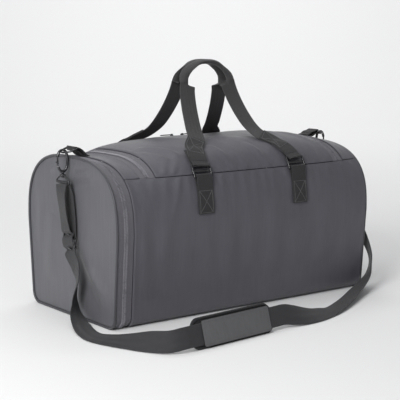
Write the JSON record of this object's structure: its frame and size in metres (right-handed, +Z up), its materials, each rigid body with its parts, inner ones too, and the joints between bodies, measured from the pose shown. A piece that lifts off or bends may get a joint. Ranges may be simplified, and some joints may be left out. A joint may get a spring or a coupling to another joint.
{
  "type": "duffel bag",
  "caption": "Soft boxy duffel bag with a zipped lid, zipped end compartment, webbing handles on buckles, and a clip-on shoulder strap with a pad.",
  "frame": {"origin": "middle of the bag's base, on the surface it stands on", "axes": "+X along the bag towards the plain end, +Y to the rear, +Z up"},
  "size_m": [0.7681, 0.5382, 0.5073],
  "materials": {
    "fabric_main": "coated weave, soft sheen",
    "fabric_end": "coated weave, soft sheen",
    "fabric_base": "coated weave",
    "zip_tape": "woven tape",
    "zip_coil": "spiral coil",
    "piping": "corded binding",
    "zip_metal": "black enamel",
    "webbing": "ribbed webbing",
    "strap_webbing": "herringbone webbing",
    "buckle_plastic": "moulded, semi-gloss",
    "gunmetal": "dark plated, glossy",
    "pin_steel": "plain steel",
    "board": "textured board",
    "pad_foam": "bound mesh over foam",
    "pad_fabric": "coated weave"
  },
  "bodies": {
    "bag": {"bottom_panel": "fabric_base", "base_board": "board", "front_panel": "fabric_main", "rear_panel": "fabric_main", "left_end_panel": "fabric_end", "right_end_panel": "fabric_end", "divider_panel": "fabric_base", "top_band_left": "fabric_main", "top_band_right": "fabric_main", "top_strip_rear": "fabric_main", "end_zip_tape_outer": "zip_tape", "end_zip_tape_inner": "zip_tape", "end_zip_coil": "zip_coil", "left_piping": "piping", "right_piping": "piping", "body_zip_tape": "zip_tape", "body_zip_coil": "zip_coil", "front_tab_left": "webbing", "front_tab_right": "webbing", "rear_tab_left": "webbing", "rear_tab_right": "webbing", "ring_tab_left": "webbing", "ring_tab_right": "webbing", "strap_eye_left": "gunmetal", "strap_eye_right": "gunmetal", "strap_adjuster": "gunmetal", "strap_webbing": "strap_webbing", "strap_return_left": "strap_webbing", "strap_end_right": "strap_webbing"},
    "lid": {"lid_panel": "fabric_main", "lid_zip_tape": "zip_tape", "lid_zip_coil": "zip_coil"},
    "front_handle": {"front_handle": "webbing", "front_buckle_left": "buckle_plastic", "front_buckle_right": "buckle_plastic"},
    "rear_handle": {"rear_handle": "webbing", "rear_buckle_left": "buckle_plastic", "rear_buckle_right": "buckle_plastic"},
    "end_slider": {"end_zip_slider": "zip_metal"},
    "end_pull": {"end_zip_pull": "zip_metal"},
    "lid_slider_left": {"lid_zip_slider_left": "zip_metal"},
    "lid_slider_right": {"lid_zip_slider_right": "zip_metal"},
    "lid_pull_left": {"lid_zip_pull_left": "zip_metal"},
    "lid_pull_right": {"lid_zip_pull_right": "zip_metal"},
    "ring_left": {"d_ring_left": "gunmetal"},
    "ring_right": {"d_ring_right": "gunmetal"},
    "hook_left": {"snap_hook_left": "gunmetal", "gate_pin_left": "pin_steel"},
    "hook_right": {"snap_hook_right": "gunmetal", "gate_pin_right": "pin_steel"},
    "gate_left": {"hook_gate_left": "gunmetal"},
    "gate_right": {"hook_gate_right": "gunmetal"},
    "shoulder_pad": {"pad_base": "pad_foam", "pad_cover": "pad_fabric"}
  },
  "joints": [
    {"name": "lid_hinge", "type": "hinge", "parent": "bag", "child": "lid", "pos_m": [0, -0.15525, 0.288], "axis": [1, 0, 0], "range_deg": [0, 100]},
    {"name": "front_handle_fold", "type": "hinge", "parent": "bag", "child": "front_handle", "pos_m": [0, -0.16287, 0.2854], "axis": [1, 0, 0], "range_deg": [0, 160]},
    {"name": "rear_handle_fold", "type": "hinge", "parent": "bag", "child": "rear_handle", "pos_m": [0, 0.16287, 0.2854], "axis": [1, 0, 0], "range_deg": [-160, 0]},
    {"name": "end_zip_slide", "type": "slide", "parent": "bag", "child": "end_slider", "axis": [0, 0.0777, 0.997], "range_m": [0, 0.1]},
    {"name": "end_pull_hinge", "type": "hinge", "parent": "end_slider", "child": "end_pull", "pos_m": [-0.307, 0.16789, 0.0616], "axis": [1, 0, 0], "range_deg": [0, 150]},
    {"name": "lid_zip_slide_left", "type": "slide", "parent": "lid", "child": "lid_slider_left", "axis": [-1, 0, 0], "range_m": [0, 0.08]},
    {"name": "lid_zip_slide_right", "type": "slide", "parent": "lid", "child": "lid_slider_right", "axis": [1, 0, 0], "range_m": [0, 0.08]},
    {"name": "lid_pull_hinge_left", "type": "hinge", "parent": "lid_slider_left", "child": "lid_pull_left", "pos_m": [-0.014, 0.09133, 0.34179], "axis": [0, 0.9654, -0.2609], "range_deg": [0, 150]},
    {"name": "lid_pull_hinge_right", "type": "hinge", "parent": "lid_slider_right", "child": "lid_pull_right", "pos_m": [0.014, 0.09133, 0.34179], "axis": [0, -0.9654, 0.2609], "range_deg": [0, 150]},
    {"name": "ring_swing_left", "type": "hinge", "parent": "bag", "child": "ring_left", "pos_m": [-0.321, 0, 0.339], "axis": [0, 1, 0], "range_deg": [-20, 1]},
    {"name": "ring_swing_right", "type": "hinge", "parent": "bag", "child": "ring_right", "pos_m": [0.321, 0, 0.339], "axis": [0, -1, 0], "range_deg": [-20, 1]},
    {"name": "hook_swivel_left", "type": "hinge", "parent": "bag", "child": "hook_left", "pos_m": [-0.343, 0, 0.285], "axis": [0, 0, 1], "range_deg": [-30, 30]},
    {"name": "hook_swivel_right", "type": "hinge", "parent": "bag", "child": "hook_right", "pos_m": [0.343, 0, 0.285], "axis": [0, 0, 1], "range_deg": [-30, 30]},
    {"name": "gate_hinge_left", "type": "hinge", "parent": "hook_left", "child": "gate_left", "pos_m": [-0.3543, 0, 0.309], "axis": [0, 1, 0], "range_deg": [0, 25], "stiffness_Nm_per_rad": 0.02, "springref_deg": -11.46},
    {"name": "gate_hinge_right", "type": "hinge", "parent": "hook_right", "child": "gate_right", "pos_m": [0.3543, 0, 0.309], "axis": [0, -1, 0], "range_deg": [0, 25], "stiffness_Nm_per_rad": 0.02, "springref_deg": -11.46},
    {"name": "pad_slide", "type": "slide", "parent": "bag", "child": "shoulder_pad", "axis": [0.995, 0.0995, 0], "range_m": [-0.02, 0.02]}
  ],
  "couplings": [
    {"joint": "front_handle_fold", "follows": "lid_hinge", "ratio": 1.6},
    {"joint": "rear_handle_fold", "follows": "lid_hinge", "ratio": -1.6}
  ]
}
